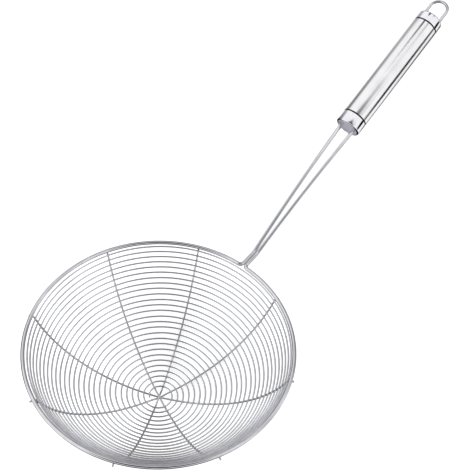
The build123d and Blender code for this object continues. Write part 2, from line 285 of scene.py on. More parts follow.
def grid_piece(name, grid, along, around, material, wrap_rows=False, poles=False):
    """A piece from points in metres: grid is rows by columns by 3, along the millimetres at each
    row and around the millimetres of one round. With poles, each end row closes on its own middle
    point."""
    rows, columns = grid.shape[:2]
    points = grid.reshape(-1, 3)
    kinds = [grid_faces(rows, columns, wrap_rows)]
    if poles:
        points = np.vstack([points, grid[0].mean(0), grid[-1].mean(0)])
        kinds.append(pole_faces(rows, columns))
    volume = sum(signed_volume(points, faces) for faces, _ in kinds)
    if volume < 0:
        kinds = [(faces[:, ::-1], steps[:, ::-1]) for faces, steps in kinds]
    corners = np.concatenate([faces.ravel() for faces, _ in kinds])
    sizes = np.concatenate([np.full(len(faces), faces.shape[1]) for faces, _ in kinds])
    steps = np.concatenate([steps.reshape(-1, 2) for _, steps in kinds])
    along = np.append(along, along[-1] + (along[-1] - along[-2]))
    uv = np.stack([along[steps[:, 0].astype(int)], steps[:, 1] / columns * around], -1)
    mesh = bpy.data.meshes.new(name)
    mesh.vertices.add(len(points))
    mesh.vertices.foreach_set("co", points.astype(np.float32).ravel())
    mesh.loops.add(len(corners))
    mesh.loops.foreach_set("vertex_index", corners.astype(np.int32))
    mesh.polygons.add(len(sizes))
    starts = np.concatenate([[0], np.cumsum(sizes)[:-1]])
    mesh.polygons.foreach_set("loop_start", starts.astype(np.int32))
    mesh.polygons.foreach_set("loop_total", sizes.astype(np.int32))
    mesh.polygons.foreach_set("use_smooth", np.ones(len(sizes), bool))
    layer = mesh.uv_layers.new(name="run_mm")
    layer.data.foreach_set("uv", uv.astype(np.float32).ravel())
    mesh.update(calc_edges=True)
    mesh.validate()
    mesh.materials.append(material)
    piece = bpy.data.objects.new(name, mesh)
    bpy.context.scene.collection.objects.link(piece)
    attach(piece, "root")
    print(name, len(sizes), "faces round", round(abs(volume) / MM ** 3), "cubic millimetres")
    return piece


# %% [markdown]
# ## A wire
#
# A drawn wire is a circle carried along a line. The circle's own axes must not spin on the way, so
# each wire gives a direction that never runs along it, such as the middle of the bowl for the
# spiral. A cut wire has a slightly broken edge, and the last rings shrink to show it.

# %% Tube along a path
WIRE_END_BREAK = 0.12
END_RINGS = np.array([0.0, 0.3, 1.0])


def unit(vectors):
    """Vectors scaled to length one."""
    return vectors / np.linalg.norm(vectors, axis=-1, keepdims=True)


def path_directions(points):
    """At each point, the mean direction of the two runs that meet there."""
    runs = unit(np.diff(points, axis=0))
    return unit(np.vstack([runs[:1], runs[:-1] + runs[1:], runs[-1:]]))


def path_lengths(points):
    """Length of the path up to each point."""
    return np.concatenate([[0.0], np.cumsum(np.linalg.norm(np.diff(points, axis=0), axis=1))])


def wire_grid(points, aside, radius, sides, end_break):
    """Rings of `sides` points, radius from the path: place = centre + radius * (cos a * out + sin a
    * over), where out is `aside` made square to the path and over is square to both. Each end has
    three rings on a quarter round: radius = full - break + sqrt(break^2 - (break - depth)^2)."""
    directions = path_directions(points)
    tip = end_break * END_RINGS
    shrink = radius - end_break + np.sqrt(end_break ** 2 - (end_break - tip) ** 2)
    start = points[:1] + directions[:1] * tip[:, None]
    end = points[-1:] - directions[-1:] * tip[::-1, None]
    aside = np.broadcast_to(aside, points.shape)
    centres = np.vstack([start, points[1:-1], end])
    rings = [len(tip)] + [1] * (len(points) - 2) + [len(tip)]
    ways = np.repeat(directions, rings, 0)
    beside = np.repeat(aside, rings, 0)
    radii = np.concatenate([shrink, np.full(len(points) - 2, radius), shrink[::-1]])
    over = unit(np.cross(ways, beside))
    out = np.cross(over, ways)
    angle = np.linspace(0, 2 * math.pi, sides, endpoint=False)
    ring = out[:, None] * np.cos(angle)[:, None] + over[:, None] * np.sin(angle)[:, None]
    return centres[:, None] + ring * radii[:, None, None], path_lengths(centres)


def wire_piece(name, points, aside, radius, sides, material):
    """A round wire along points in the bowl frame, in millimetres."""
    grid, along = wire_grid(points, aside, radius, sides, WIRE_END_BREAK)
    return grid_piece(name, lay(grid), along, 2 * math.pi * radius, material, poles=True)


def rounded_path(corners, radii, steps):
    """The corners' polyline with an arc at each inner corner, as a fixed number of points an arc:
    place = start + radius * (sin t * incoming + (1 - cos t) * inward)."""
    pieces = [corners[:1]]
    for before, corner, after, radius in zip(corners[:-2], corners[1:-1], corners[2:], radii):
        incoming, outgoing = unit(corner - before), unit(after - corner)
        turn = math.acos(float(np.clip(incoming @ outgoing, -1, 1)))
        start = corner - incoming * radius * math.tan(turn / 2)
        inward = unit(outgoing - incoming * math.cos(turn))
        t = np.linspace(0, turn, steps)[:, None]
        pieces.append(start + radius * (np.sin(t) * incoming + (1 - np.cos(t)) * inward))
    pieces.append(corners[-1:])
    return np.vstack(pieces)


# %% [markdown]
# ## Colours and nodes
#
# Colours are written as they look on a screen and turned to linear light by one function. One small
# function adds a node, so that a material reads as a list of what is mixed into what.

# %% Colour and node helpers


def linear(code):
    """An sRGB hex colour as linear red, green, blue and 1."""
    parts = np.array([int(code[k:k + 2], 16) for k in (1, 3, 5)]) / 255
    values = np.where(parts <= 0.04045, parts / 12.92, ((parts + 0.055) / 1.055) ** 2.4)
    return (*(float(v) for v in values), 1.0)


def node(tree, kind, sockets=None, **settings):
    """Adds one node: settings are its own properties, sockets its inputs, as values or links."""
    made = tree.nodes.new(kind)
    for key, value in settings.items():
        setattr(made, key, value)
    for key, value in (sockets or {}).items():
        if isinstance(value, bpy.types.NodeSocket):
            tree.links.new(value, made.inputs[key])
        else:
            made.inputs[key].default_value = value
    return made


def new_material(name):
    """An empty node material and its output."""
    material = bpy.data.materials.new(name)
    material.use_nodes = True
    material.node_tree.nodes.clear()
    output = node(material.node_tree, "ShaderNodeOutputMaterial")
    return material, material.node_tree, output


def mixed(tree, share, first, second):
    """A colour between two hex colours, the second where share is 1."""
    made = node(tree, "ShaderNodeMix", {"Factor": share}, data_type="RGBA")
    made.inputs["A"].default_value = linear(first)
    made.inputs["B"].default_value = linear(second)
    return made.outputs["Result"]


def maths(tree, operation, first, second):
    """Two values combined by one operation, such as MULTIPLY."""
    return node(tree, "ShaderNodeMath", {0: first, 1: second}, operation=operation).outputs[0]


def noise_of(tree, place, stretch, detail=3.0):
    """Noise whose grain is `stretch` times finer along each of the three directions of place."""
    mapping = node(tree, "ShaderNodeMapping", {"Vector": place, "Scale": stretch})
    made = node(tree, "ShaderNodeTexNoise", {
        "Vector": mapping.outputs["Vector"], "Scale": 1.0, "Detail": detail,
    })
    return made.outputs["Fac"]


def ranged(tree, value, low, high, start=0.3, end=0.7):
    """A noise value stretched so that start gives low and end gives high."""
    made = node(tree, "ShaderNodeMapRange", {
        "Value": value, "From Min": start, "From Max": end, "To Min": low, "To Max": high,
    })
    return made.outputs["Result"]


def grain_of(tree, per_metre, detail=3.0):
    """Even noise on the object's own coordinates, with so many grains in a metre."""
    place = node(tree, "ShaderNodeTexCoord").outputs["Object"]
    return noise_of(tree, place, [per_metre] * 3, detail)


def bumped(tree, height, depth, strength=1.0):
    """The normal of a surface that a noise raises by up to depth millimetres."""
    made = node(tree, "ShaderNodeBump", {
        "Height": height, "Distance": depth * MM, "Strength": strength,
    })
    return made.outputs["Normal"]


# %% [markdown]
# ## Stainless steel wire
#
# All the metal is 18/8 stainless steel, and what differs is how its skin was made. The wires are
# cold drawn and electropolished: they reflect almost like a mirror, and faint lines of the drawing
# die run along them. The lines live on the UV map in millimetres, so that they follow the wire
# round every bend. An even mirror looks unreal, so roughness and colour also vary in slow patches,
# as handling leaves them.

# %% Wire steels


def steel(name, place, pale, deep, rough, marks_mm, mark_depth, patch_mm, smear=None):
    """Polished steel: place makes the coordinates in millimetres, pale and deep are the colours of
    its patches, rough their roughness, marks_mm the size of one mark along and across, mark_depth
    its depth and patch_mm the size of a patch. smear stretches reflections along the piece by that
    much."""
    material, tree, output = new_material(name)
    here = place(tree)
    marks = noise_of(tree, here, [1 / size for size in marks_mm], detail=4.0)
    patches = noise_of(tree, here, [1 / patch_mm] * 3, detail=2.0)
    shader = node(tree, "ShaderNodeBsdfPrincipled", {
        "Base Color": mixed(tree, ranged(tree, patches, 0.0, 1.0), pale, deep),
        "Metallic": 1.0,
        "Roughness": ranged(tree, patches, *rough),
        "Normal": bumped(tree, marks, mark_depth),
    })
    if smear:
        shader.inputs["Anisotropic"].default_value = smear
        run = node(tree, "ShaderNodeTangent", direction_type="UV_MAP", uv_map="run_mm")
        tree.links.new(run.outputs["Tangent"], shader.inputs["Tangent"])
    tree.links.new(shader.outputs["BSDF"], output.inputs["Surface"])
    print(name, "roughness", rough, "marks", marks_mm, "mm")
    return material


def on_the_wire(tree):
    """Millimetres along and round the wire."""
    return node(tree, "ShaderNodeUVMap", uv_map="run_mm").outputs["UV"]


rim_steel = steel(
    "drawn_electropolished_rim_wire", on_the_wire, pale="#E2E2E6", deep="#D6D6DC",
    rough=(0.03, 0.07), marks_mm=(6.0, 0.2, 1.0), mark_depth=0.003, patch_mm=9.0,
)
basket_steel = steel(
    "drawn_electropolished_basket_wire", on_the_wire, pale="#DCDCE1", deep="#CFCFD6",
    rough=(0.04, 0.09), marks_mm=(5.0, 0.15, 1.0), mark_depth=0.002, patch_mm=6.0,
)
loop_steel = steel(
    "drawn_electropolished_loop_wire", on_the_wire, pale="#D8D8DC", deep="#CACAD0",
    rough=(0.05, 0.10), marks_mm=(6.0, 0.2, 1.0), mark_depth=0.003, patch_mm=7.0,
)

# %% [markdown]
# ## Stainless steel tube and caps
#
# The caps are pressed and buffed bright. The grip tube is lapped on a centreless machine, which
# leaves fine marks round it: reflections stay sharp across the tube and smear along it, which is
# what the anisotropy gives, with its direction read from the UV map. Both are round about the
# handle's axis, so the coordinates of their marks are the object's own, turned to lie along that
# axis. That has no seam anywhere.

# %% Tube and cap steels
HANDLE_LAID = LAY_TURN @ HANDLE_DIR
HANDLE_TURN = math.atan2(float(HANDLE_LAID[2]), float(HANDLE_LAID[0]))


def on_the_handle(tree):
    """Millimetres along the handle's axis and in the two directions across it."""
    place = node(tree, "ShaderNodeTexCoord").outputs["Object"]
    turned = node(tree, "ShaderNodeMapping", {
        "Vector": place, "Rotation": (0.0, HANDLE_TURN, 0.0), "Scale": [1 / MM] * 3,
    })
    return turned.outputs["Vector"]


cap_steel = steel(
    "buffed_pressed_caps", on_the_handle, pale="#F6F6FA", deep="#ECECF3",
    rough=(0.08, 0.12), marks_mm=(0.5, 5.0, 5.0), mark_depth=0.002, patch_mm=11.0, smear=0.7,
)
grip_steel = steel(
    "lapped_grip_tube", on_the_handle, pale="#F7F7F8", deep="#F0F0F3",
    rough=(0.13, 0.18), marks_mm=(0.25, 9.0, 9.0), mark_depth=0.0015, patch_mm=18.0, smear=0.8,
)
print("handle lies", round(math.degrees(HANDLE_TURN), 2), "degrees from level")

# %% [markdown]
# ## Steel without a UV map
#
# The plug inside the mouth comes straight from the solids, which have no UV map, so its marks are
# drawn on the object's own coordinates. It is bead blasted and never polished: pale and dull. Its
# faint violet tint is painted reflection of the lavender-grey surroundings. A blasted face scatters
# light much as a matt one does, so only a part of it is left as metal here.

# %% Blasted plug and weld metal
DENTS_PER_METRE = 900.0
DENT_DEPTH = 0.02
TINT_CLOUDS_PER_METRE = 350.0
PITS_PER_METRE = 2200.0
PIT_DEPTH = 0.05
TINTS = ((0.35, "#8F8E96"), (0.65, "#B7A98F"))


def blasted_steel():
    """Bead-blasted stainless steel: fine dents all over and next to no mirror."""
    material, tree, output = new_material("bead_blasted_plug_face")
    dents = grain_of(tree, DENTS_PER_METRE, detail=4.0)
    # The violet tint of this pale base colour is painted reflection of lavender-grey surroundings.
    shader = node(tree, "ShaderNodeBsdfPrincipled", {
        "Base Color": linear("#EDEBF8"),
        "Metallic": 0.2,
        "Roughness": ranged(tree, dents, 0.5, 0.62),
        "Normal": bumped(tree, dents, DENT_DEPTH, strength=0.5),
    })
    tree.links.new(shader.outputs["BSDF"], output.inputs["Surface"])
    return material


def weld_steel():
    """Weld metal: rough and pitted, with clouds of blue-grey and straw heat tint."""
    material, tree, output = new_material("heat_tinted_weld")
    tint = node(tree, "ShaderNodeValToRGB", {
        "Fac": grain_of(tree, TINT_CLOUDS_PER_METRE, detail=2.0),
    })
    for stop, (position, code) in zip(tint.color_ramp.elements, TINTS):
        stop.position = position
        stop.color = linear(code)
    pits = grain_of(tree, PITS_PER_METRE)
    shader = node(tree, "ShaderNodeBsdfPrincipled", {
        "Base Color": tint.outputs["Color"],
        "Metallic": 1.0,
        "Roughness": ranged(tree, pits, 0.30, 0.55),
        "Normal": bumped(tree, pits, PIT_DEPTH, strength=0.7),
    })
    tree.links.new(shader.outputs["BSDF"], output.inputs["Surface"])
    return material


plug_steel = blasted_steel()
weld_metal = weld_steel()

# %% [markdown]
# ## Black spacer rings
#
# The rings in the two grooves are moulded nylon: black, matt, with the fine spark grain of their
# mould. Their near-black colour and faint gloss are also painted shade, the shade deep in each
# groove. They sit below the steel on both sides, so that only a thin dark line shows.

# %% Spacer ring material
SPARK_GRAIN_PER_METRE = 3000.0
SPARK_GRAIN_DEPTH = 0.03
NYLON_IOR = 1.53


def nylon_painted_groove_shade():
    """Black moulded nylon, kept nearly black as painted groove shade: the high spots of its grain
    are a little paler and duller.
    """
    material, tree, output = new_material("black_nylon_painted_groove_shade")
    grain = grain_of(tree, SPARK_GRAIN_PER_METRE)
    # The near-black base colour and low specular level are the nylon's own black, deepened into
    # painted shade of the groove.
    shader = node(tree, "ShaderNodeBsdfPrincipled", {
        "Base Color": mixed(tree, grain, "#030303", "#090909"),
        "Roughness": ranged(tree, grain, 0.75, 0.95),
        "IOR": NYLON_IOR,
        "Specular IOR Level": 0.1,
        "Normal": bumped(tree, grain, SPARK_GRAIN_DEPTH, strength=0.5),
    })
    tree.links.new(shader.outputs["BSDF"], output.inputs["Surface"])
    return material


ring_black = nylon_painted_groove_shade()

# %% [markdown]
# ## Rim, neck and shank: one bent wire
#
# The maker bends one length of 3 mm wire: a nearly full circle, a small outward turn at each end,
# and two legs. So it is one tube here too. Its line starts inside the handle, comes down one leg,
# goes round the rim and returns up the other leg. The rim is a plain circle, and the turns beside
# it are small arcs about a point outside it.

# %% Rim wire
WIRE_ARC_STEPS = 14
NECK_STEPS = 12
RIM_STEPS = 420
RIM_SIDES = 28


def leg_point(middle, run):
    """The +Y leg's centre beside a point of the middle line, run millimetres past the bend."""
    return middle + HANDLE_SIDE * (LEG_Y + run * math.tan(math.radians(LEG_SPREAD)))


def leg_path():
    """The +Y leg from the neck to its end inside the handle."""
    station = PLUG_BACK + LEG_PAST_PLUG
    corners = np.array([
        leg_point(NECK_START, 0),
        leg_point(NECK_LIFT, 0),
        leg_point(SHANK_BEND, 0),
        leg_point(SHANK_BOW, SHANK_LENGTH / 2),
        leg_point(MOUTH + HANDLE_DIR * station, SHANK_LENGTH + station),
    ])
    return rounded_path(corners, (NECK_LIFT_R, SHANK_BEND_R, SHANK_BOW_R), WIRE_ARC_STEPS)


def rim_path():
    """The -Y leg inward, the neck's turn, the rim, the other turn and the +Y leg outward."""
    leg = leg_path()
    azimuth = math.asin((LEG_Y + NECK_BEND_R) / (RIM_R + NECK_BEND_R))
    turn = np.linspace(1.5 * math.pi, math.pi + azimuth, NECK_STEPS)[1:, None]
    centre = np.array([NECK_ARC_X, LEG_Y + NECK_BEND_R, 0.0])
    neck = centre + NECK_BEND_R * np.hstack([np.cos(turn), np.sin(turn), 0 * turn])
    half = np.vstack([leg[::-1], neck])
    a = np.linspace(azimuth, 2 * math.pi - azimuth, RIM_STEPS)[1:-1, None]
    rim = RIM_R * np.hstack([np.cos(a), np.sin(a), 0 * a])
    return np.vstack([half, rim, (half * (1, -1, 1))[::-1]])


rim_wire = wire_piece(
    "rim_and_shank", rim_path(), (0.0, 0.0, -1.0), RIM_WIRE_R, RIM_SIDES, rim_steel
)
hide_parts("frame_wire")

# %% [markdown]
# ## The weld in the neck
#
# Where the two legs run side by side, one short bead in the groove under them holds them together.
# A bead is laid down drop by drop, so it is a row of small overlapping scales. A round bar would
# look wrong there, so its thickness ripples along the run and its ends die away.

# %% Neck weld
NECK_WELD_R = 0.75
NECK_WELD_DROP = 1.2
NECK_WELD_LENGTH = 7.0
NECK_WELD_SCALE = 0.8
NECK_WELD_RIPPLE = 0.12
NECK_WELD_DRAWN = 0.25
NECK_WELD_USED = 0.998
NECK_WELD_STEPS = 121
NECK_WELD_SIDES = 20


def neck_bead_grid():
    """Place = middle of the neck + run along it + radius * (cos a * side + sin a * down), where
    radius is full * (1 - ripple * |sin(pi * back / scale)|) * sqrt(1 - (2 run / length)^6), and
    back = run + drawn * sin a, because the middle of each scale is drawn back as the metal sets.
    The run stops just short of the full length, so that the last rings still have a size."""
    ahead, down = risen(NECK_RISE), risen(NECK_RISE - 90)
    middle = NECK_LIFT + ahead * NECK_LENGTH / 2 + down * NECK_WELD_DROP
    run = np.linspace(-0.5, 0.5, NECK_WELD_STEPS)[:, None] * NECK_WELD_LENGTH * NECK_WELD_USED
    a = np.linspace(0, 2 * math.pi, NECK_WELD_SIDES, endpoint=False)[None]
    back = run + NECK_WELD_DRAWN * np.sin(a)
    scales = 1 - NECK_WELD_RIPPLE * np.abs(np.sin(math.pi * back / NECK_WELD_SCALE))
    radius = (NECK_WELD_R * scales * np.sqrt(1 - (2 * run / NECK_WELD_LENGTH) ** 6))[..., None]
    ring = np.cos(a)[..., None] * HANDLE_SIDE + np.sin(a)[..., None] * down
    return middle + run[..., None] * ahead + radius * ring, run[:, 0]


bead_grid, bead_run = neck_bead_grid()
neck_bead = grid_piece(
    "neck_weld_bead", lay(bead_grid), bead_run, 2 * math.pi * NECK_WELD_R, weld_metal,
    poles=True,
)
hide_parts("neck_weld")

# %% [markdown]
# ## The spiral bowl
#
# A machine winds the bowl from one long wire on a round form: the distance along the bowl grows by
# the same step each turn, and the wire ends where it meets the rim. The turns are hand set on the
# ribs before they are welded, so their spacing is never perfect, and a slow small waver shows that.

# %% Spiral wire
SPIRAL_WAVER = 0.10
SPIRAL_WAVES = ((0.73, 0.0), (2.31, 1.0))
SPIRAL_STEP = 2.2
SPIRAL_LEAST_STEPS = 56
SPIRAL_SAMPLES = 4000
SPIRAL_SIDES = 12


def spiral_end_arc():
    """Distance along the bowl at which the spiral's wire touches the rim wire."""
    touch = RIM_WIRE_R + SPIRAL_WIRE_R
    reach = math.hypot(RIM_R, BOWL_CENTRE_Z)
    cosine = (reach ** 2 + BOWL_R ** 2 - touch ** 2) / (2 * reach * BOWL_R)
    return (math.atan2(RIM_R, BOWL_CENTRE_Z) - math.acos(cosine)) * BOWL_R


def bowl_point(arc, azimuth):
    """A point of the bowl's sphere: arc / radius is its polar angle from the lowest point."""
    polar = arc / BOWL_R
    flat = BOWL_R * np.sin(polar)
    height = BOWL_CENTRE_Z - BOWL_R * np.cos(polar)
    return np.stack([flat * np.cos(azimuth), flat * np.sin(azimuth), height], -1)


def spiral_arc(turn):
    """Distance along the bowl after so many turns: an even climb, plus a waver of two waves, each
    with its own number a turn and its own start, which dies out at both ends."""
    share = turn / SPIRAL_TURNS
    even = SPIRAL_INNER_ARC + (spiral_end_arc() - SPIRAL_INNER_ARC) * share
    waver = sum(np.sin(turn * 2 * math.pi * waves + start) for waves, start in SPIRAL_WAVES)
    return even + SPIRAL_WAVER * waver * np.sin(math.pi * share)


def spiral_azimuth(turn):
    """The azimuth in radians falls by a full round each turn."""
    return math.radians(SPIRAL_INNER_AZIMUTH) - 2 * math.pi * turn


def spiral_path():
    """Points one step of wire apart, but never fewer in a turn than a small round turn needs: the
    points a turn are the larger of the two, summed over the turns and then read back at whole
    numbers."""
    turn = np.linspace(0, SPIRAL_TURNS, SPIRAL_SAMPLES)
    round_mm = 2 * math.pi * BOWL_R * np.sin(spiral_arc(turn) / BOWL_R)
    a_turn = np.maximum(round_mm / SPIRAL_STEP, SPIRAL_LEAST_STEPS)
    so_far = np.concatenate([[0.0], np.cumsum((a_turn[:-1] + a_turn[1:]) / 2 * np.diff(turn))])
    turn = np.interp(np.linspace(0, so_far[-1], int(so_far[-1]) + 1), so_far, turn)
    return bowl_point(spiral_arc(turn), spiral_azimuth(turn))


spiral_points = spiral_path()
spiral_outward = spiral_points - np.array([0.0, 0.0, BOWL_CENTRE_Z])
spiral = wire_piece(
    "spiral_bowl", spiral_points, spiral_outward, SPIRAL_WIRE_R, SPIRAL_SIDES, basket_steel,
)
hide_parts("spiral_wire")
print("spiral wire", round(path_lengths(spiral_points)[-1] / 1000, 2), "m long")

# %% [markdown]
# ## Ribs
#
# Each rib lies under the spiral from rim to rim. It is an arc just outside the bowl's sphere, dips
# a little where all four cross at the bottom, and turns level under the rim, where its cut end
# stands out.

# %% Rib wires
RIB_R = BOWL_R + SPIRAL_WIRE_R + RIB_WIRE_R - WELD_SINK
RIB_TIP_Z = -(RIM_WIRE_R + RIB_WIRE_R - WELD_SINK)
RIB_NEAR_STEPS = 14
RIB_FAR_STEPS = 110
RIB_BEND_STEPS = 9
RIB_SIDES = 16


def rib_half(level):
    """Distance out and height along half a rib, from the bottom to the tip; level is how far it
    dips below the sphere where the ribs cross, and the dip fades as a smooth step over the stack's
    reach."""
    bend_z = RIB_TIP_Z - RIB_END_BEND_R
    bend_x = math.sqrt((RIB_R + RIB_END_BEND_R) ** 2 - (BOWL_CENTRE_Z - bend_z) ** 2)
    end = math.atan2(bend_x, BOWL_CENTRE_Z - bend_z)
    near = np.linspace(0, RIB_STACK_REACH / RIB_R, RIB_NEAR_STEPS)
    far = np.linspace(RIB_STACK_REACH / RIB_R, end, RIB_FAR_STEPS)[1:]
    polar = np.concatenate([near, far])
    fade = np.clip(polar * RIB_R / RIB_STACK_REACH, 0, 1)
    dip = level * (1 - fade ** 2 * (3 - 2 * fade))
    arc = np.stack([RIB_R * np.sin(polar), BOWL_CENTRE_Z - RIB_R * np.cos(polar) - dip], -1)
    sweep = np.linspace(math.pi / 2 + end, math.pi / 2, RIB_BEND_STEPS)[1:]
    bend = RIB_END_BEND_R * np.stack([np.cos(sweep), np.sin(sweep)], -1) + (bend_x, bend_z)
    tip = np.array([[RIM_OUTER_D / 2 + RIB_TIP_OUT, RIB_TIP_Z]])
    return np.vstack([arc, bend, tip])


def rib_path(azimuth, level):
    """Half a rib and its mirror image, turned to azimuth."""
    half = rib_half(level)
    whole = np.vstack([(half * (-1, 1))[:0:-1], half])
    a = math.radians(azimuth)
    return np.stack([whole[:, 0] * math.cos(a), whole[:, 0] * math.sin(a), whole[:, 1]], -1)


for number, azimuth in enumerate(RIB_AZIMUTHS, start=1):
    level = (number - 1 - (len(RIB_AZIMUTHS) - 1) / 2) * RIB_STACK_STEP
    square = (-math.sin(math.radians(azimuth)), math.cos(math.radians(azimuth)), 0.0)
    rib = wire_piece(
        f"rib_{number}", rib_path(azimuth, level), square, RIB_WIRE_R, RIB_SIDES, basket_steel,
    )
    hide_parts(f"rib_wire_{number}")

# %% [markdown]
# ## Turned and pressed pieces of the handle
#
# Caps, tube and rings are outlines turned about the handle's axis. Real edges are never sharp, so
# each corner of an outline has a small arc, which is what catches the light.

# %% Turning an outline
AROUND = 128
EDGE_STEPS = 7
POLE_RING = 0.02
EDGE = 0.22
GROOVE_EDGE = 0.12
INNER_EDGE = 0.1
MOUTH_LIP = 0.25
RING_EDGE = 0.15


def turned_piece(name, outline, radii, material, solid=False):
    """Turns an outline of (radius, station) corners about the handle's axis: place = mouth +
    station along the axis + radius * (cos a * side + sin a * up). A solid outline starts and ends
    on the axis, where a ring of a small share of its neighbour's radius closes on a pole."""
    corners = np.array(outline, float)
    if not solid:
        middle = (corners[0] + corners[-1]) / 2
        corners = np.vstack([middle, corners, middle])
    line = rounded_path(corners, radii, EDGE_STEPS)
    if solid:
        line[[0, -1], 0] = line[[1, -2], 0] * POLE_RING
    else:
        line = line[:-1]
    a = np.linspace(0, 2 * math.pi, AROUND, endpoint=False)
    out = np.cos(a)[:, None] * HANDLE_SIDE + np.sin(a)[:, None] * HANDLE_UP
    grid = MOUTH + line[:, 1, None, None] * HANDLE_DIR + line[:, 0, None, None] * out[None]
    along = path_lengths(line)
    return grid_piece(
        name, lay(grid), along, 2 * math.pi * HANDLE_R, material,
        wrap_rows=not solid, poles=solid,
    )


# %% Front cap
front_cap = turned_piece(
    "front_cap_buffed",
    (
        (CAP_POCKET_R, 0),
        (HANDLE_R, 0),
        (HANDLE_R, FRONT_CAP_LENGTH),
        (SPIGOT_R, FRONT_CAP_LENGTH),
        (SPIGOT_R, GRIP_START + SPIGOT_LENGTH),
        (SPIGOT_BORE_R, GRIP_START + SPIGOT_LENGTH),
        (SPIGOT_BORE_R, PLUG_BACK),
        (CAP_POCKET_R, PLUG_BACK),
    ),
    (MOUTH_LIP, MOUTH_ROUND, GROOVE_EDGE, INNER_EDGE, EDGE, EDGE, INNER_EDGE, INNER_EDGE),
    cap_steel,
)
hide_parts("front_cap")

# %% Grip tube
grip = turned_piece(
    "grip_tube_lapped",
    (
        (TUBE_BORE_R, GRIP_START),
        (HANDLE_R, GRIP_START),
        (HANDLE_R, GRIP_END),
        (TUBE_BORE_R, GRIP_END),
    ),
    (GROOVE_EDGE, GROOVE_EDGE, GROOVE_EDGE, GROOVE_EDGE),
    grip_steel,
)
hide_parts("grip_tube")

# %% Rear cap
rear_cap = turned_piece(
    "rear_cap_buffed",
    (
        (0, HANDLE_END - END_WALL),
        (CAP_POCKET_R, HANDLE_END - END_WALL),
        (CAP_POCKET_R, REAR_CAP_START),
        (SPIGOT_BORE_R, REAR_CAP_START),
        (SPIGOT_BORE_R, GRIP_END - SPIGOT_LENGTH),
        (SPIGOT_R, GRIP_END - SPIGOT_LENGTH),
        (SPIGOT_R, REAR_CAP_START),
        (HANDLE_R, REAR_CAP_START),
        (HANDLE_R, HANDLE_END),
        (0, HANDLE_END),
    ),
    (INNER_EDGE, INNER_EDGE, INNER_EDGE, EDGE, EDGE, INNER_EDGE, GROOVE_EDGE, TAIL_ROUND),
    cap_steel,
    solid=True,
)
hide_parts("rear_cap")

# %% Spacer rings
for name, start in (("front_spacer_ring", FRONT_CAP_LENGTH), ("rear_spacer_ring", GRIP_END)):
    ring = turned_piece(
        name + "_moulded",
        (
            (TUBE_BORE_R, start),
            (HANDLE_R - GROOVE_DEPTH, start),
            (HANDLE_R - GROOVE_DEPTH, start + GROOVE_WIDTH),
            (TUBE_BORE_R, start + GROOVE_WIDTH),
        ),
        (INNER_EDGE, RING_EDGE, RING_EDGE, INNER_EDGE),
        ring_black,
    )
    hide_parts(name)

# %% [markdown]
# ## Hanging loop
#
# A U of 2.5 mm wire: two straight legs and a half circle, welded inside the rear cap.

# %% Hanging loop
LOOP_ARC_STEPS = 48
LOOP_LEG_STEPS = 8
LOOP_SIDES = 24


def loop_path():
    """Leg, half circle about a point on the axis, and leg, in the plane of the handle's side."""
    inside = HANDLE_END - END_WALL - LOOP_LEG_INSIDE
    turn = HANDLE_END + LOOP_STRAIGHT
    a = np.linspace(math.pi, 0, LOOP_ARC_STEPS)[:, None]
    leg = np.linspace(inside, turn, LOOP_LEG_STEPS)[:-1, None]
    out = np.hstack([0 * leg - LOOP_R, leg])
    curve = np.hstack([LOOP_R * np.cos(a), turn + LOOP_R * np.sin(a)])
    flat = np.vstack([out, curve, (out * (-1, 1))[::-1]])
    return MOUTH + flat[:, :1] * HANDLE_SIDE + flat[:, 1:] * HANDLE_DIR


loop = wire_piece(
    "hanging_loop_wire", loop_path(), -HANDLE_UP, LOOP_WIRE_R, LOOP_SIDES, loop_steel
)
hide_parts("hanging_loop")

# %% [markdown]
# ## Welds where the wires cross
#
# Each crossing of spiral and rib is a resistance weld: two electrodes press the wires together and
# a little metal squeezes out between them. That is a small flat nugget, so every crossing gets one,
# all in one mesh. The crossing's place along the spiral follows from the azimuths, so no searching
# is needed.

# %% Weld nuggets
NUGGET_ALONG = 0.85
NUGGET_ACROSS = 0.75
NUGGET_THICK = 0.42
NUGGET_FLAT = 0.35
NUGGET_RINGS = 5
NUGGET_SIDES = 8
STACK_CLEAR = 1.5


def crossing_turns(azimuth):
    """The turns, counted from the spiral's inner end, at which it passes an azimuth in degrees.
    Those near the stack of ribs are left out, because there the ribs dip away from the spiral."""
    first = ((SPIRAL_INNER_AZIMUTH - azimuth) % 360) / 360
    turns = np.arange(first, SPIRAL_TURNS, 1.0)
    return turns[spiral_arc(turns) > RIB_STACK_REACH + STACK_CLEAR]


def nugget_grid():
    """A ball as rings of points, flat at both ends, with few faces because there are hundreds."""
    polar = np.linspace(NUGGET_FLAT, math.pi - NUGGET_FLAT, NUGGET_RINGS)[:, None]
    a = np.linspace(0, 2 * math.pi, NUGGET_SIDES, endpoint=False)[None]
    flat = np.sin(polar)
    return np.stack([flat * np.cos(a), flat * np.sin(a), np.cos(polar) + 0 * a], -1)


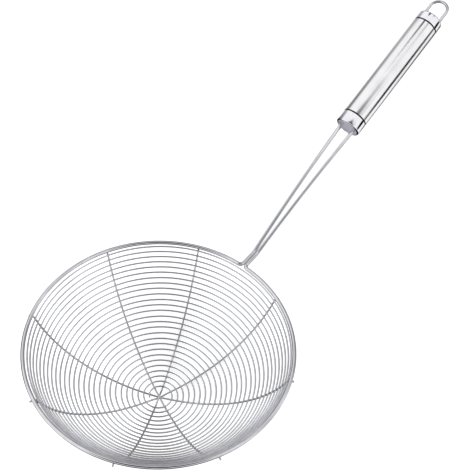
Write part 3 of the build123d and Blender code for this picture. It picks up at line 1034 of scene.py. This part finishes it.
def weld_nuggets():
    """Copies the squashed ball to each crossing: place = crossing + ball's x along the spiral, y
    along the rib and z through the two wires."""
    both_ways = [a + half for a in RIB_AZIMUTHS for half in (0.0, 180.0)]
    turns = np.concatenate([crossing_turns(a) for a in both_ways])
    azimuths = spiral_azimuth(turns)
    centres = bowl_point(spiral_arc(turns), azimuths)
    through = unit(np.array([0.0, 0.0, BOWL_CENTRE_Z]) - centres)
    along = np.stack([np.sin(azimuths), -np.cos(azimuths), 0 * azimuths], -1)
    across = np.cross(through, along)
    ball = nugget_grid() * (NUGGET_ALONG, NUGGET_ACROSS, NUGGET_THICK)
    frames = np.stack([along, across, through], 1)
    contact = centres - through * SPIRAL_WIRE_R
    points = contact[:, None, None] + np.einsum("rck,nkd->nrcd", ball, frames)
    rows, columns = ball.shape[:2]
    quads, _ = grid_faces(rows, columns, False)
    count = rows * columns
    first = (np.arange(len(centres)) * count)[:, None, None]
    caps = np.stack([np.arange(columns)[::-1], count - columns + np.arange(columns)])
    sides, ends = (quads + first).reshape(-1, 4), (caps + first).reshape(-1, columns)
    points = lay(points.reshape(-1, 3))
    volume = signed_volume(points, sides) + signed_volume(points, ends)
    if volume < 0:
        sides, ends = sides[:, ::-1], ends[:, ::-1]
    mesh = bpy.data.meshes.new("weld_nuggets")
    mesh.from_pydata(points.tolist(), [], sides.tolist() + ends.tolist())
    mesh.polygons.foreach_set("use_smooth", np.ones(len(mesh.polygons), bool))
    mesh.materials.append(weld_metal)
    piece = bpy.data.objects.new("weld_nuggets", mesh)
    bpy.context.scene.collection.objects.link(piece)
    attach(piece, "root")
    print("weld nuggets at", len(centres), "crossings")
    print("weld nuggets hold", round(abs(volume) / MM ** 3, 1), "cubic millimetres")
    return piece


weld_nuggets()

# %% [markdown]
# ## Pieces that keep their solid
#
# The plug and the beads already have their full form, so they only change material.

# %% Materials of the kept solids


def dress(name, material):
    """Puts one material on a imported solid."""
    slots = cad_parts[name].data.materials
    slots.clear()
    slots.append(material)


dress("shank_plug", plug_steel)
for bead in ("plug_weld_beads", "loop_weld_beads"):
    dress(bead, weld_metal)

# %% [markdown]
# ## Floor
#
# The photograph has a plain white ground. The floor is white paper: it takes the skimmer's soft
# shadow, and where it is looked at directly its own glow lifts it to full white. Only the closest
# contact shadow stays. The steel doesn't mirror the floor. In the photograph the skimmer's
# underside shows the dark of the tent's lower half, so the polished metal sees the surroundings
# alone.

# %% Floor
FLOOR_HALF = 3.0
FLOOR_LIFT = 0.66
FIBRES_PER_METRE = 700.0
FIBRE_DEPTH = 0.02


def paper():
    """Matt white paper, with a glow that only camera, glossy and transmission rays see."""
    material, tree, output = new_material("white_paper_floor")
    path = node(tree, "ShaderNodeLightPath").outputs
    seen = maths(tree, "MAXIMUM", path["Is Camera Ray"], path["Is Glossy Ray"])
    seen = maths(tree, "MAXIMUM", seen, path["Is Transmission Ray"])
    glow = node(tree, "ShaderNodeEmission", {
        "Color": linear("#FFFFFF"), "Strength": maths(tree, "MULTIPLY", seen, FLOOR_LIFT),
    })
    fibres = bumped(tree, grain_of(tree, FIBRES_PER_METRE), FIBRE_DEPTH, strength=0.3)
    matt = node(tree, "ShaderNodeBsdfDiffuse", {"Color": linear("#F2F2F2"), "Normal": fibres})
    both = node(tree, "ShaderNodeAddShader", {0: matt.outputs[0], 1: glow.outputs[0]})
    tree.links.new(both.outputs[0], output.inputs["Surface"])
    return material


floor_signs = ((-1, -1), (1, -1), (1, 1), (-1, 1))
floor_corners = [(x * FLOOR_HALF, y * FLOOR_HALF, 0) for x, y in floor_signs]
floor_mesh = bpy.data.meshes.new("floor")
floor_mesh.from_pydata(floor_corners, [], [(0, 1, 2, 3)])
floor_mesh.materials.append(paper())
floor = bpy.data.objects.new("floor", floor_mesh)
bpy.context.scene.collection.objects.link(floor)
floor.visible_glossy = False

# %% [markdown]
# ## Light
#
# Polished metal shows its surroundings, so the surroundings are the lighting here, and no lamp is
# needed. The skimmer stands in a white tent, and openings in the tent stay dark: one for the
# camera, others at its corners and below. They draw the thin dark lines along the wires and the
# grip. Each gap is a soft round patch about a direction. Where the camera looks past the object,
# the tent is plain white.

# %% World
GAPS = (
    # azimuth, elevation, inner and outer angular radius in degrees, how dark
    (115.7, -33.0, 20.5, 36.0, 0.99),
    (-113.0, 67.5, 26.5, 34.5, 0.96),
    (-155.5, -35.5, 41.5, 53.0, 1.00),
    (-66.5, -16.0, 10.0, 14.0, 1.00),
    (16.5, 46.0, 6.5, 10.0, 1.00),
    (90.0, -5.0, 8.5, 38.5, 0.86),
    (-11.0, -57.0, 11.5, 29.0, 0.92),
    (13.5, -15.5, 35.0, 57.0, 0.65),
    (-26.0, 36.0, 3.0, 12.0, 0.80),
    (-79.0, 38.0, 5.0, 16.0, 0.35),
)


def direction(azimuth, elevation):
    """Unit vector at an azimuth from +X toward +Y and an elevation above the table."""
    a, e = math.radians(azimuth), math.radians(elevation)
    return (math.cos(a) * math.cos(e), math.sin(a) * math.cos(e), math.sin(e))


def tent():
    """White less the gaps: the product over all gaps of 1 - dark * a smooth step from the gap's
    outer to its inner radius. Camera and transmission rays see plain white."""
    world = bpy.data.worlds.new("light_tent")
    bpy.context.scene.world = world
    world.use_nodes = True
    tree = world.node_tree
    tree.nodes.clear()
    place = node(tree, "ShaderNodeTexCoord").outputs["Generated"]
    brightness = 1.0
    for azimuth, elevation, inner, outer, dark in GAPS:
        sockets = {0: place, 1: direction(azimuth, elevation)}
        facing = node(tree, "ShaderNodeVectorMath", sockets, operation="DOT_PRODUCT")
        share = node(tree, "ShaderNodeMapRange", {
            "Value": facing.outputs["Value"],
            "From Min": math.cos(math.radians(outer)),
            "From Max": math.cos(math.radians(inner)),
            "To Min": 1.0,
            "To Max": 1.0 - dark,
        }, interpolation_type="SMOOTHSTEP")
        brightness = maths(tree, "MULTIPLY", brightness, share.outputs["Result"])
    path = node(tree, "ShaderNodeLightPath").outputs
    seen = maths(tree, "MAXIMUM", path["Is Camera Ray"], path["Is Transmission Ray"])
    strength = node(tree, "ShaderNodeMix", {"Factor": seen, "A": brightness, "B": 1.0})
    background = node(tree, "ShaderNodeBackground", {
        "Color": linear("#FFFFFF"), "Strength": strength.outputs["Result"],
    })
    output = node(tree, "ShaderNodeOutputWorld")
    tree.links.new(background.outputs[0], output.inputs["Surface"])


tent()

# %% [markdown]
# ## Finish
#
# The picture takes the plain view transform, so that a colour comes out as it is written.

# %% Finish
bpy.context.scene.view_settings.view_transform = "Standard"
